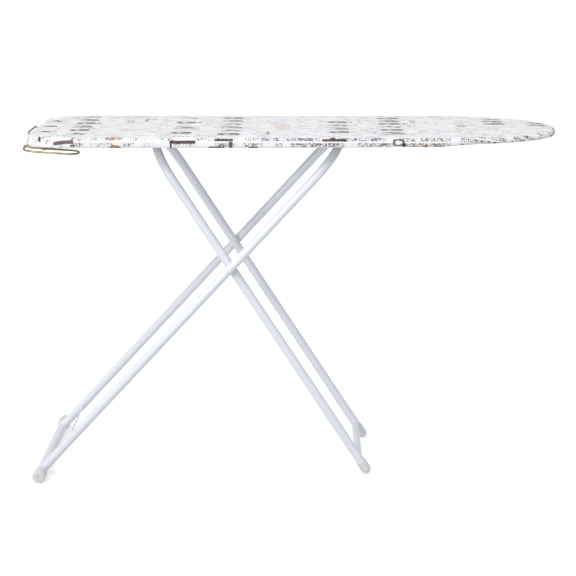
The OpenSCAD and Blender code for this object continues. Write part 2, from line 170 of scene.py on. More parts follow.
def plated(name, bright, dull, roughness=0.32, grain=(30, 400, 400)):
    """Bare or plated steel: fine drawn grain, with duller cloudy patches."""
    s = Shader(name)
    clouds = s.ramp(s.noise(s.place(), 45, 5, 0.6), 0.35, 0.7)
    lines = s.noise(s.place(grain), 1, 4, 0.7)
    s.set(Base_Color=s.mix(clouds, rgb(*bright), rgb(*dull)), Metallic=1.0)
    s.set(Roughness=s.ramp(s.math("ADD", lines, s.math("MULTIPLY", clouds, 0.4)), 0.3, 1.0,
                           roughness - 0.1, roughness + 0.16))
    s.set(Normal=s.bump(lines, 0.05 * MM, 0.3))
    return s.material


def plastic(name, colour, dirt_and_shade, roughness, floor_shade=0.0):
    """Moulded plastic: a fine spark-eroded texture, mottled dirt all over, and painted shade that darkens it low
    down where it meets the floor.
    """
    s = Shader(name)
    where = s.place()
    height = s.node("SeparateXYZ", {0: where}).outputs[2]
    mottled = s.ramp(s.noise(where, 120, 5, 0.6), 0.45, 0.8)
    # painted shade: darker within 12 mm of the floor, where contact shadow falls, broken up by the mottle
    near_floor = s.ramp(height, 0.012, 0.0, 0, floor_shade)
    share = s.math("MULTIPLY", s.math("ADD", near_floor, 0.12), mottled)
    s.set(Base_Color=s.mix(share, rgb(*colour), rgb(*dirt_and_shade)))
    s.set(Roughness=s.ramp(s.noise(where, 90, 4), 0.2, 0.8, roughness - 0.06, roughness + 0.1))
    s.set(Normal=s.bump(s.noise(where, 1400, 2), 0.06 * MM, 0.4))
    return s.material


def foam():
    """Open-cell foam: small round pits in a cream skin, with painted shade darkening the pits' hollows."""
    s = Shader("pad_foam")
    where = s.place()
    cells = s.node("TexVoronoi", {"Vector": where, "Scale": 650}).outputs["Distance"]
    pits = s.ramp(cells, 0.15, 0.55)
    # painted shade: the pits' hollows take the darker colour
    s.set(Base_Color=s.mix(pits, rgb(0.62, 0.58, 0.47), rgb(0.86, 0.83, 0.73)))
    s.set(Roughness=0.95, Specular_IOR_Level=0.2)
    s.set(Normal=s.bump(pits, 0.4 * MM, 0.8))
    return s.material


def braid(name, colour, shade):
    """Woven thread or elastic: two crossing diagonal ribs, with painted shade in the grooves between them."""
    s = Shader(name)
    ribs = [s.node("TexWave", {"Vector": s.place((1, side, 1)), "Scale": 420, "Distortion": 1.5},
                   bands_direction="DIAGONAL").outputs["Fac"] for side in (1, -1)]
    weave = s.math("MULTIPLY", *ribs)
    # painted shade: where the ribs dip, the colour goes to shade
    s.set(Base_Color=s.mix(weave, rgb(*shade), rgb(*colour)))
    s.set(Roughness=0.8, Sheen_Weight=0.3, Sheen_Roughness=0.5)
    s.set(Normal=s.bump(weave, 0.2 * MM, 0.7))
    return s.material


# The cover's print, in metres on the flat cloth: past the top's edge, v goes on down the skirt.
# Each mark is (form, u, v, half length along u, half width along v, ink).
GREY, MAUVE, BROWN, RUST, TAN, ASH = "grey", "mauve", "brown", "rust", "tan", "ash"
INKS = {GREY: (0.045, 0.04, 0.042), MAUVE: (0.13, 0.085, 0.088), BROWN: (0.06, 0.02, 0.018),
        RUST: (0.42, 0.17, 0.055), TAN: (0.74, 0.48, 0.34), ASH: (0.36, 0.36, 0.38)}
# For each form: how square its outline is, and the share of its half size that the ink fills
FORMS = {"pebble": (2.0, 0.46), "frame": (5.0, 0.42), "bar": (8.0, 1.0), "seed": (2.0, 1.0)}


def motif_column(u, start, step, motifs, ink=GREY, length=22 * MM, width=13 * MM):
    """A row of motifs laid across the board, one for each word in motifs.

    strata is three staggered bars, sprig a long seed with two small ones, and stone a ringed pebble;
    stones has a small seed beside the pebble.
    """
    marks = []
    for i, motif in enumerate(motifs.split()):
        v = start + i * step
        if motif == "strata":
            marks += [("bar", u + shift * length, v + side * width * 0.75, share * length, 3.1 * MM, ink)
                      for side, share, shift in ((-1, 1, 0), (0, 0.62, 0.34), (1, 0.8, -0.1))]
        elif motif == "sprig":
            marks += [("seed", u, v, length, 3.4 * MM, ink),
                      ("seed", u + 0.55 * length, v - 6 * MM, 6 * MM, 4 * MM, ink),
                      ("seed", u - 0.1 * length, v + 6 * MM, 5 * MM, 4 * MM, ink)]
        else:
            marks += [("pebble", u, v, length, width, ink),
                      ("seed", u + 0.2 * length, v, 6 * MM, 4.5 * MM, ink)]
            if motif == "stones":
                marks.append(("seed", u + 1.25 * length, v, 4 * MM, 6 * MM, ink))
    return marks


MARKS = (
    motif_column(-0.455, -0.120, 0.048, "sprig stone strata stones strata sprig")
    + motif_column(-0.525, -0.090, 0.075, "sprig strata sprig", GREY, 14 * MM, 6 * MM)
    + motif_column(-0.240, -0.105, 0.070, "stone strata stones sprig")
    + motif_column(-0.142, -0.120, 0.045, "stone sprig strata sprig strata stone", GREY, 24 * MM)
    + motif_column(0.085, -0.092, 0.046, "stone strata sprig stones")
    + motif_column(0.195, -0.105, 0.042, "strata stone sprig stones strata stone", GREY, 25 * MM)
    + motif_column(0.418, 0.025, 0.034, "strata stone sprig", GREY, 24 * MM, 9 * MM)
    + motif_column(0.505, 0.010, 0.030, "sprig sprig", GREY, 20 * MM)
    # Large pale stones and leaves between the columns
    + [("pebble", -0.362, 0.050, 0.008, 16 * MM, ASH), ("seed", -0.330, 0.070, 0.004, 24 * MM, ASH),
       ("seed", -0.316, 0.078, 0.010, 5 * MM, ASH), ("seed", -0.062, -0.105, 0.004, 22 * MM, ASH),
       ("pebble", 0.246, 0.055, 0.006, 20 * MM, ASH), ("pebble", 0.345, -0.010, 0.008, 15 * MM, ASH)]
    # Bars and seeds along the near skirt
    + [("bar", -0.475, -0.1695, 0.021, 3.8 * MM, MAUVE), ("bar", -0.456, -0.177, 0.005, 2 * MM, MAUVE),
       ("bar", -0.233, -0.1695, 0.026, 3.4 * MM, BROWN), ("bar", -0.257, -0.176, 0.002, 8 * MM, BROWN),
       ("bar", -0.150, -0.165, 0.019, 2.3 * MM, BROWN), ("bar", -0.136, -0.175, 0.004, 7 * MM, MAUVE),
       ("bar", 0.073, -0.165, 0.025, 2.8 * MM, BROWN), ("seed", 0.070, -0.160, 0.006, 4 * MM, BROWN),
       ("frame", 0.203, -0.170, 0.012, 8 * MM, MAUVE), ("seed", 0.214, -0.176, 0.004, 5 * MM, BROWN),
       ("seed", -0.370, -0.182, 0.012, 6 * MM, RUST), ("bar", 0.288, -0.180, 0.008, 2 * MM, RUST),
       ("seed", 0.258, -0.178, 0.005, 4 * MM, RUST), ("seed", -0.525, -0.150, 0.003, 7 * MM, GREY),
       ("bar", -0.165, -0.181, 0.016, 2.2 * MM, GREY), ("bar", -0.090, -0.181, 0.009, 2 * MM, GREY),
       ("seed", 0.541, -0.020, 0.007, 9 * MM, GREY), ("bar", 0.372, -0.152, 0.007, 2 * MM, GREY)]
    # The same on the far skirt, in another order
    + [("bar", 0.240, 0.169, 0.024, 3.4 * MM, BROWN), ("bar", -0.300, 0.168, 0.026, 3.4 * MM, BROWN),
       ("seed", -0.120, 0.178, 0.011, 6 * MM, RUST), ("bar", 0.020, 0.169, 0.020, 3.4 * MM, MAUVE),
       ("frame", -0.430, 0.170, 0.012, 8 * MM, MAUVE), ("bar", 0.360, 0.160, 0.016, 2.5 * MM, MAUVE)])

# Blots of thin colour, broken up like a worn stamp: (u, v, half length, half width, ink)
BLOTS = [(-0.370, -0.159, 0.020, 0.008, RUST), (-0.356, 0.122, 0.018, 0.020, TAN),
         (-0.033, -0.022, 0.020, 0.034, TAN), (0.300, 0.126, 0.018, 0.024, TAN)]


def near_mark(s, u, v, mark, power):
    """How many times its own half size a point lies from a mark's centre."""
    form, mu, mv, length, width = mark
    du = s.math("POWER", s.math("ABSOLUTE", s.math("DIVIDE", s.math("SUBTRACT", u, mu), length)), power)
    dv = s.math("POWER", s.math("ABSOLUTE", s.math("DIVIDE", s.math("SUBTRACT", v, mv), width)), power)
    return s.math("POWER", s.math("ADD", du, dv), 1 / power)


def printed_cloth():
    """Plain-weave cotton, printed with rows of scribble, abstract motifs and worn blots of colour.

    The mesh stores each point's place on the flat cloth in the attribute "cloth": u, v, and how far
    down the skirt the point lies.
    """
    wobble_size, row, border_from, border_to = 1.6 * MM, 13 * MM, 1 * MM, 3 * MM
    s = Shader("cover_cloth")
    laid = s.node("SeparateXYZ", {0: s.node("Attribute", attribute_name="cloth").outputs["Vector"]})
    cloth = s.node("CombineXYZ", {0: laid.outputs[0], 1: laid.outputs[1]}).outputs[0]
    wobble = s.node("TexNoise", {"Vector": cloth, "Scale": 90, "Detail": 2}).outputs["Color"]
    centred = s.vector("SUBTRACT", wobble, (0.5, 0.5, 0.5))
    shift = s.node("VectorMath", {0: centred, "Scale": wobble_size}, operation="SCALE").outputs[0]
    inked = s.vector("ADD", cloth, shift)
    flat = s.node("SeparateXYZ", {0: inked})
    u, v = flat.outputs[0], flat.outputs[1]

    # Rows of scribble, bolder on the skirt: contour lines of a noise, kept to bands and broken into runs
    down_skirt = s.ramp(laid.outputs[2], border_from, border_to)
    border = s.math("MULTIPLY", down_skirt, s.ramp(u, -0.22, 0.02, 0.35, 1.0))
    line = s.math("DIVIDE", v, row)
    band = s.math("ABSOLUTE", s.math("SUBTRACT", s.math("FRACT", line), 0.5))
    in_band = s.ramp(s.math("SUBTRACT", band, s.math("MULTIPLY", border, 0.06)), 0.32, 0.24)
    along = s.node("CombineXYZ", {0: s.math("MULTIPLY", u, 24), 1: s.math("FLOOR", line)}).outputs[0]
    run = s.ramp(s.math("ADD", s.noise(along, 1.0, 1), s.math("MULTIPLY", border, 0.03)), 0.46, 0.52)
    field = s.noise(s.vector("MULTIPLY", cloth, (210, 150, 1)), 1.0, 1.5)
    off_line = s.math("ABSOLUTE", s.math("SUBTRACT", field, 0.5))
    stroke = s.ramp(s.math("SUBTRACT", off_line, s.math("MULTIPLY", border, 0.02)), 0.055, 0.03)
    patch = s.ramp(s.noise(cloth, 16, 2), 0.36, 0.60, 0.35, 1.0)
    inked_share = s.math("MULTIPLY", stroke, s.math("MAXIMUM", patch, border))
    scribble = s.math("MULTIPLY", s.math("MULTIPLY", in_band, run), inked_share)

    speck = s.ramp(s.noise(cloth, 900, 2), 0.30, 0.55, 0.75, 1.0)
    ground = s.mix(s.noise(cloth, 12, 3), rgb(0.86, 0.86, 0.905), rgb(0.92, 0.92, 0.94))
    colour = s.mix(s.math("MULTIPLY", scribble, 0.92), ground, rgb(0.07, 0.065, 0.067))
    for bu, bv, length, width, ink in BLOTS:
        spread = near_mark(s, u, v, ("blot", bu, bv, length, width), 3.0)
        worn = s.ramp(s.noise(cloth, 170, 3, 0.7), 0.40, 0.56)
        share = s.math("MULTIPLY", s.ramp(spread, 1.0, 0.75, 0, 0.8), worn)
        colour = s.mix(share, colour, rgb(*INKS[ink]))
    for form, mu, mv, length, width, ink in MARKS:
        power, fill = FORMS[form]
        spread = near_mark(s, u, v, (form, mu, mv, length, width), power)
        share = s.ramp(spread, 1.06, 0.94)
        if fill < 1:
            share = s.math("MULTIPLY", share, s.ramp(spread, 0.94 - fill, 1.06 - fill))
        colour = s.mix(s.math("MULTIPLY", share, speck), colour, rgb(*INKS[ink]))

    threads = [s.node("TexWave", {"Vector": cloth, "Scale": 330, "Distortion": 0.6},
                      bands_direction=way, wave_profile="SIN").outputs["Fac"] for way in ("X", "Y")]
    weave = s.math("ADD", *threads)
    # painted highlight: the weave's thread crests are lightened, as where light catches them
    shade = s.ramp(weave, 0.2, 1.6, 0.0, 0.12)
    s.set(Base_Color=s.mix(shade, colour, rgb(0.97, 0.97, 0.99), "SOFT_LIGHT"))
    s.set(Roughness=0.82, Specular_IOR_Level=0.25, Sheen_Weight=0.25, Sheen_Roughness=0.4)
    creases = s.noise(s.vector("MULTIPLY", cloth, (1.0, 2.6, 1.0)), 22, 4, 0.55)
    s.set(Normal=s.bump(weave, 0.12 * MM, 0.5, s.bump(creases, 1.2 * MM, 0.35)))
    return s.material


MATERIALS = {
    "cover_cloth": printed_cloth(),
    "pad_foam": foam(),
    "elastic": braid("elastic", (0.9, 0.9, 0.9), (0.55, 0.55, 0.56)),
    "panel_steel": painted("panel_steel", (0.66, 0.69, 0.73), (0.6, 0.63, 0.68), 0.4),
    "plated_steel": plated("plated_steel", (0.64, 0.65, 0.67), (0.48, 0.49, 0.5)),
    "leg_paint": painted("leg_paint", (0.80, 0.835, 0.885), (0.76, 0.80, 0.86)),
    # white_plastic's second colour is both mottled dirt and painted shade; its last number is the painted shade
    # near the floor
    "white_plastic": plastic("white_plastic", (0.72, 0.73, 0.745), (0.42, 0.41, 0.38), 0.42, 0.5),
    "dark_plastic": plastic("dark_plastic", (0.022, 0.022, 0.024), (0.1, 0.1, 0.1), 0.5),
    "rest_steel": plated("rest_steel", (0.36, 0.325, 0.2), (0.2, 0.175, 0.1), 0.36, (200, 60, 200)),
    "thread": braid("thread", (0.86, 0.86, 0.88), (0.5, 0.5, 0.52)),
}


# ---- Mesh helpers ----


def new_piece(name, points, faces, slot, body, replaced=(), material=None):
    """Makes a smooth mesh piece that rides on a body and stands for the CAD nodes it replaces."""
    mesh = bpy.data.meshes.new(name)
    mesh.from_pydata([tuple(p) for p in points], [], faces)
    mesh.validate()
    mesh.polygons.foreach_set("use_smooth", [True] * len(mesh.polygons))
    piece = bpy.data.objects.new(name, mesh)
    bpy.context.scene.collection.objects.link(piece)
    mesh.materials.append(MATERIALS[material or slot])
    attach(piece, body)
    if replaced:
        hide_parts(*replaced)
    return piece


def apply_modifiers(piece):
    """Bakes the piece's modifiers into its mesh."""
    evaluated = piece.evaluated_get(bpy.context.evaluated_depsgraph_get())
    mesh = bpy.data.meshes.new_from_object(evaluated)
    piece.modifiers.clear()
    piece.data = mesh


def weld_points(piece):
    """Adds a modifier that joins points lying on top of each other."""
    piece.modifiers.new("weld", "WELD").merge_threshold = 0.02 * MM


def face_outwards(piece):
    """Makes a closed mesh's faces all point out."""
    bm = bmesh.new()
    bm.from_mesh(piece.data)
    bmesh.ops.recalc_face_normals(bm, faces=bm.faces)
    bm.to_mesh(piece.data)
    bm.free()


def tube(path, radius, sides=16, closed=False):
    """Points and faces of a round tube along a path; an open one has domed ends."""
    path = [Vector(p) for p in path]
    count = len(path)
    points, normal = [], None
    for i, here in enumerate(path):
        before = path[i - 1] if closed or i else here
        after = path[(i + 1) % count] if closed or i < count - 1 else here
        along = (after - before).normalized()
        if normal is None:
            normal = along.orthogonal()
        normal = (normal - normal.dot(along) * along).normalized()
        side = along.cross(normal)
        for k in range(sides):
            a = math.tau * k / sides
            points.append(here + radius * (math.cos(a) * normal + math.sin(a) * side))
    rings = count if closed else count - 1
    faces = [(i * sides + k, (i + 1) % count * sides + k, (i + 1) % count * sides + (k + 1) % sides,
              i * sides + (k + 1) % sides) for i in range(rings) for k in range(sides)]
    if not closed:
        for ring, outward in ((0, path[0] - path[1]), (count - 1, path[-1] - path[-2])):
            first = ring * sides
            last = first
            for lift in (0.5, 0.85):
                start = len(points)
                for k in range(sides):
                    spoke = points[first + k] - path[ring]
                    shrunk = spoke * math.sqrt(1 - lift * lift)
                    points.append(path[ring] + shrunk + outward.normalized() * radius * lift * 0.6)
                faces += [(last + k, last + (k + 1) % sides, start + (k + 1) % sides, start + k)
                          for k in range(sides)]
                last = start
            faces.append(tuple(last + k for k in range(sides)))
    return points, faces


def rounded(path, cuts, steps=8):
    """The path with each inner corner rounded off over the length given for it."""
    made = [Vector(path[0])]
    for i in range(1, len(path) - 1):
        corner = Vector(path[i])
        a = corner + cuts[i] * (Vector(path[i - 1]) - corner).normalized()
        b = corner + cuts[i] * (Vector(path[i + 1]) - corner).normalized()
        for k in range(steps + 1):
            t = k / steps
            made.append((1 - t) ** 2 * a + 2 * t * (1 - t) * corner + t * t * b)
    return made + [Vector(path[-1])]


# ---- The board's outline ----


def outline(inset, nose_steps=96, corner_steps=28, side_steps=84, tail_steps=20):
    """Closed plan of the board, drawn in by inset; every call gives the same number of points."""
    half = HALF_W - inset
    corner_x = TAIL_X + CORNER_LEN
    corner_y = HALF_W - CORNER_W
    plan = []
    for i in range(nose_steps + 1):
        t = math.pi * (i / nose_steps - 0.5)
        plan.append((TAPER_X + (NOSE_LEN - inset) * abs(math.cos(t)) ** (2 / NOSE_POWER),
                     math.copysign(half * abs(math.sin(t)) ** (2 / NOSE_POWER), t)))
    for i in range(1, side_steps):
        plan.append((TAPER_X + (corner_x - TAPER_X) * i / side_steps, half))
    for i in range(corner_steps + 1):
        t = math.pi / 2 * (1 + i / corner_steps)
        plan.append((corner_x + (CORNER_LEN - inset) * math.cos(t),
                     corner_y + (CORNER_W - inset) * math.sin(t)))
    for i in range(1, tail_steps):
        plan.append((TAIL_X + inset, corner_y * (1 - 2 * i / tail_steps)))
    for i in range(corner_steps + 1):
        t = math.pi / 2 * (2 + i / corner_steps)
        plan.append((corner_x + (CORNER_LEN - inset) * math.cos(t),
                     -corner_y + (CORNER_W - inset) * math.sin(t)))
    for i in range(1, side_steps):
        plan.append((corner_x + (TAPER_X - corner_x) * i / side_steps, -half))
    return [Vector((x, y, 0)) for x, y in plan]


EDGE = outline(0)
COUNT = len(EDGE)
OUTWARD = []
RUN = [0.0]
for i in range(COUNT):
    ahead = EDGE[(i + 1) % COUNT] - EDGE[i - 1]
    OUTWARD.append(Vector((ahead.y, -ahead.x, 0)).normalized())
    RUN.append(RUN[-1] + (EDGE[(i + 1) % COUNT] - EDGE[i]).length)
SPINE = [Vector((min(max(p.x, TAIL_X + HALF_W), NOSE_X - HALF_W), 0, 0)) for p in EDGE]


def crown(inset):
    """Height of the top above its flat datum, inset from the edge."""
    return -CROWN * (1 - min(inset / (95 * MM), 1)) ** 2


def at_nose(x):
    """How far the hem is drawn in under the nose, from 0 to 1."""
    return smooth_step(TAPER_X - 25 * MM, TAPER_X + 90 * MM, x)


def at_tail(p):
    """How much of the slack skirt of the tail's corners lies at a point of the plan, from 0 to 1."""
    return smooth_step(TAIL_X + 120 * MM, TAIL_X + 50 * MM, p.x) * smooth_step(54 * MM, 90 * MM, abs(p.y))


def hem_lift(i):
    """Height of the hem above its level on the straight sides, at outline point i."""
    p = EDGE[i]
    towards_nose = 2.2 * MM * smooth_step(-0.1, TAPER_X, p.x) * (1 - at_nose(p.x))
    return NOSE_LIFT * at_nose(p.x) + towards_nose - 1.2 * MM * smooth_step(-0.2, -0.5, p.x)


def hem_tuck(i, depth):
    """How far the skirt leans in under the board at outline point i; it flares out at the tail's corners."""
    p = EDGE[i]
    return 7 * MM * at_nose(p.x) * depth ** 3.5 - TAIL_FLARE * at_tail(p) * depth ** 1.6


def gather(i, depth):
    """Ripple of the skirt at outline point i, growing from the top edge down to the hem."""
    s = RUN[i]
    pull = 0.22 + 0.78 * max(at_nose(EDGE[i].x), at_tail(EDGE[i]))
    drift = 3 * noise.noise(Vector((s * 14, 0.3, 1.7)))
    fine = math.sin(math.tau * s / (13 * MM) + drift) * 0.75 * MM
    broad = noise.noise(Vector((s * 38, 5.1, 2.2))) * 1.3 * MM
    return pull * depth ** 1.5 * (fine + broad)


def loft(rings, closed_section=False):
    """Faces joining rings of COUNT points each."""
    faces = []
    last = len(rings) if closed_section else len(rings) - 1
    for r in range(last):
        a, b = r * COUNT, (r + 1) % len(rings) * COUNT
        for i in range(COUNT):
            j = (i + 1) % COUNT
            faces.append((a + i, a + j, b + j, b + i))
    return faces


def top_rings(insets, height, sink):
    """Rings over the top: inset from the edge, then gathered to the board's spine."""
    rings = []
    for inset in insets:
        rings.append([Vector((p.x, p.y, height + crown(inset) - sink)) for p in outline(inset)])
    last = outline(insets[-1])
    for share in (0.25, 0.5, 0.75, 1.0):
        inset = insets[-1] + share * (HALF_W - insets[-1])
        rings.append([last[i].lerp(SPINE[i], share) + Vector((0, 0, height + crown(inset) - sink))
                      for i in range(COUNT)])
    return rings


# ---- Soft parts ----


HEM_R, HEM_INSET = 2.3 * MM, 11.3 * MM      # the rolled hem, and how far in its middle lies
HEM_SWAY = 0.3                              # the share of the skirt's lean that the hem follows


def make_cover():
    """The cover: one sheet, crowned over the pad, down round the rim and rolled into a gathered hem."""
    skirt, top_drop, bend_inset = TOP_Z - SKIRT_Z, 4 * MM, 9 * MM
    # Section from the top edge down: (inset, drop below the top) on a straight side
    section = [(bend_inset, 0.15 * MM), (5.5 * MM, 0.7 * MM), (3 * MM, 1.9 * MM), (1.3 * MM, 3.7 * MM),
               (0.35 * MM, 6 * MM), (0, 8.5 * MM), (0, 11 * MM), (0, 13.5 * MM), (0.1 * MM, 16 * MM),
               (0.35 * MM, 18.5 * MM), (1.2 * MM, 20.4 * MM), (3 * MM, 21 * MM), (6 * MM, 20.9 * MM)]
    section += [(HEM_INSET - HEM_R * math.sin(a), skirt - HEM_R - HEM_R * math.cos(a) * 0.98)
                for a in [math.radians(d) for d in range(-40, -321, -35)]]
    rings, cloth = [], []
    for ring in reversed(top_rings([16 * MM, 26 * MM, 40 * MM, 58 * MM, 76 * MM], TOP_Z, 0)):
        rings.append(ring)
        cloth.append([(p.x - PRINT_START, p.y, 0) for p in ring])
    bend = outline(bend_inset)
    previous, travelled = None, 0.0
    for inset, drop in section:
        if previous:
            travelled += math.dist(previous, (inset, drop))
        previous = (inset, drop)
        ring = []
        depth = min(1, max(0, (drop - top_drop) / (skirt - top_drop)))
        share = 1 if inset < HEM_INSET - HEM_R else HEM_SWAY
        sag = crown(bend_inset) * (1 - depth)
        for i in range(COUNT):
            inward = inset + share * hem_tuck(i, depth) - gather(i, depth)
            point = EDGE[i] - OUTWARD[i] * inward
            ring.append(Vector((point.x, point.y, TOP_Z - drop + hem_lift(i) * depth ** 2 + sag)))
        rings.append(ring)
        flat = [bend[i] + OUTWARD[i] * travelled for i in range(COUNT)]
        cloth.append([(p.x - PRINT_START, p.y, travelled) for p in flat])
    points = [p for ring in rings for p in ring]
    piece = new_piece("printed_cover", points, loft(rings), "cover_cloth", "board", ["cover"])
    attribute = piece.data.attributes.new("cloth", "FLOAT_VECTOR", "POINT")
    attribute.data.foreach_set("vector", [c for ring in cloth for p in ring for c in p])
    weld_points(piece)
    thick = piece.modifiers.new("thickness", "SOLIDIFY")
    thick.thickness = 0.6 * MM
    thick.offset = -1
    apply_modifiers(piece)


def make_pad():
    """The foam pad: a flat-bottomed slab with a bulging edge, under the cover's crown."""
    edge = PANEL_INSET + 0.4 * MM
    top, bottom = TOP_Z - 1.0 * MM, PAD_Z + 0.1 * MM
    rings = list(reversed(top_rings([10 * MM, 26 * MM, 58 * MM], top, 0)))
    section = [(edge + 4 * MM, top - 1.4 * MM), (edge + 1.2 * MM, top - 2.6 * MM), (edge, top - 3.8 * MM),
               (edge + 0.3 * MM, PAD_Z + 0.6 * MM), (edge + 1.2 * MM, bottom)]
    for inset, z in section:
        rings.append([p + Vector((0, 0, z)) for p in outline(inset)])
    for inset in (26 * MM, 58 * MM):
        rings.append([p + Vector((0, 0, bottom)) for p in outline(inset)])
    rings.append([p + Vector((0, 0, bottom)) for p in SPINE])
    points = [p for ring in rings for p in ring]
    piece = new_piece("foam_pad", points, loft(rings), "pad_foam", "board", ["pad"])
    weld_points(piece)
    apply_modifiers(piece)
    face_outwards(piece)


def make_elastic():
    """The elastic that runs in the hem and draws it in."""
    path = []
    for i, p in enumerate(outline(HEM_INSET)):
        height = SKIRT_Z + HEM_R + hem_lift(i)
        path.append(p - OUTWARD[i] * HEM_SWAY * hem_tuck(i, 1) + Vector((0, 0, height)))
    points, faces = tube(path, 1.3 * MM, 12, closed=True)
    new_piece("hem_elastic", points, faces, "elastic", "board", ["hem_cord"])


def make_stitches():
    """Thread that sews the hem's channel shut, seen from below."""
    points, faces = [], []
    pitch, length, thread_r, sink = 4.2 * MM, 3.0 * MM, 0.28 * MM, 0.2 * MM
    plan = outline(8 * MM)
    target = 0.0
    for i in range(COUNT):
        while target < RUN[i + 1]:
            t = (target - RUN[i]) / (RUN[i + 1] - RUN[i])
            here = plan[i].lerp(plan[(i + 1) % COUNT], t)
            tuck = HEM_SWAY * hem_tuck(i, 1) - gather(i, 1)
            along = (plan[(i + 1) % COUNT] - plan[i]).normalized()
            centre = here - OUTWARD[i] * tuck + Vector((0, 0, SKIRT_Z + hem_lift(i) - 0.1 * MM))
            span = [centre + along * length * k - Vector((0, 0, sink * (1 - 4 * k * k)))
                    for k in (-0.5, -0.25, 0, 0.25, 0.5)]
            some, sides = tube(span, thread_r, 6)
            faces += [tuple(len(points) + k for k in face) for face in sides]
            points += some
            target += pitch
    new_piece("hem_stitches", points, faces, "cover_cloth", "board", material="thread")


# ---- Mesh steel panel ----


def make_panel():
    """The panel: expanded mesh inside a plain border, with a rolled rim round its edge."""
    z_sheet = PAD_Z - SHEET_T
    rim_wall, lip, border = 1.2 * MM, 9 * MM, 17 * MM
    bend = 0.8 * MM
    section = [(PANEL_INSET + bend, PAD_Z), (PANEL_INSET, PAD_Z - bend), (PANEL_INSET, RIM_Z + bend),
               (PANEL_INSET + bend, RIM_Z), (lip - 0.4 * MM, RIM_Z), (lip, RIM_Z + 0.4 * MM),
               (lip, RIM_Z + rim_wall - 0.3 * MM), (lip - 0.4 * MM, RIM_Z + rim_wall),
               (PANEL_INSET + rim_wall, RIM_Z + rim_wall), (PANEL_INSET + rim_wall, z_sheet),
               (border, z_sheet), (border, PAD_Z)]
    rings = [[p + Vector((0, 0, z)) for p in outline(inset)] for inset, z in section]
    points = [p for ring in rings for p in ring]
    rim = new_piece("panel_rim", points, loft(rings, closed_section=True), "panel_steel", "board",
                    ["top_panel"])
    face_outwards(rim)

    # Expanded mesh: rhombic cells, each with a hole; cells that cross the border are drawn back to it
    reach_x, reach_y = 11.5 * MM, 6.5 * MM
    outer = [(1, 0), (0.5, 0.5), (0, 1)]
    inner = [(0.74, 0), (0.36, 0.47), (0, 0.72)]
    limit = outline(border - 1.5 * MM)

    def inside(x, y):
        if abs(y) >= HALF_W - border:
            return False
        hits = 0
        for i in range(COUNT):
            a, b = limit[i], limit[(i + 1) % COUNT]
            if (a.y > y) != (b.y > y) and x < a.x + (y - a.y) / (b.y - a.y) * (b.x - a.x):
                hits += 1
        return hits % 2 == 1

    def held(x, y):
        if inside(x, y):
            return Vector((x, y, 0))
        return min(limit, key=lambda p: (p.x - x) ** 2 + (p.y - y) ** 2)

    points, faces = [], []
    columns = int((NOSE_X - TAIL_X) / reach_x) + 1
    rows = int(HALF_W / reach_y) + 1
    for i in range(columns + 1):
        for j in range(-rows, rows + 1):
            if (i + j) % 2:
                continue
            cx, cy = TAIL_X + i * reach_x, j * reach_y
            corners = [inside(cx + sx * reach_x, cy + sy * reach_y)
                       for sx, sy in ((1, 0), (-1, 0), (0, 1), (0, -1))]
            if not any(corners):
                continue
            for sx, sy in ((1, 1), (-1, 1), (-1, -1), (1, -1)):
                first = len(points)
                for px, py in outer + inner:
                    spot = held(cx + sx * px * reach_x, cy + sy * py * reach_y)
                    points.append(Vector((spot.x, spot.y, z_sheet)))
                for quad in ((0, 1, 4, 3), (1, 2, 5, 4)):
                    order = quad if sx * sy > 0 else quad[::-1]
                    faces.append(tuple(first + k for k in order))
    mesh_sheet = new_piece("expanded_mesh", points, faces, "panel_steel", "board")
    bm = bmesh.new()
    bm.from_mesh(mesh_sheet.data)
    bmesh.ops.remove_doubles(bm, verts=bm.verts, dist=0.05 * MM)
    bmesh.ops.dissolve_degenerate(bm, edges=bm.edges, dist=0.05 * MM)
    bm.to_mesh(mesh_sheet.data)
    bm.free()
    thick = mesh_sheet.modifiers.new("thickness", "SOLIDIFY")
    thick.thickness = SHEET_T - 0.15 * MM
    thick.offset = 1
    apply_modifiers(mesh_sheet)
    mesh_sheet.data.polygons.foreach_set("use_smooth", [False] * len(mesh_sheet.data.polygons))


# ---- Wire, spring and welds ----


def make_rest_wire():
    """The iron rest: one bent wire with a loop on each side and a raised stop past the tail."""
    wire_r, reach = 2 * MM, 14 * MM
    strand_y, loop_r, loop_len, stop_y, stop_h = 120 * MM, 22 * MM, 110 * MM, 44 * MM, 19.5 * MM
    run_s = -wire_r - 3 * MM
    outer_y = strand_y + 2 * loop_r
    lift = 2.1 * wire_r
    half = [(run_s - 1.5 * MM, strand_y, lift), (12 * MM, strand_y, 0), (loop_len, strand_y, 0),
            (loop_len, outer_y, 0), (run_s, outer_y, 0), (run_s, stop_y + 4 * MM, 0),
            (wire_r - reach, stop_y, stop_h)]
    cuts = [0, 4 * MM, loop_r - 0.5 * MM, loop_r - 0.5 * MM, 38 * MM, 4 * MM, 6 * MM]
    path = [(x, -y, z) for x, y, z in half] + half[::-1]
    cuts = cuts + cuts[::-1]
    droop = Matrix.Rotation(math.radians(3.5), 4, "Y")
    place = Matrix.Translation((TAIL_X, 0, SKIRT_Z - 7.5 * MM)) @ droop
    points, faces = tube([place @ p for p in rounded(path, cuts, 10)], wire_r, 20)
    new_piece("iron_rest", points, faces, "rest_steel", "iron_rest", ["iron_rest_wire"])


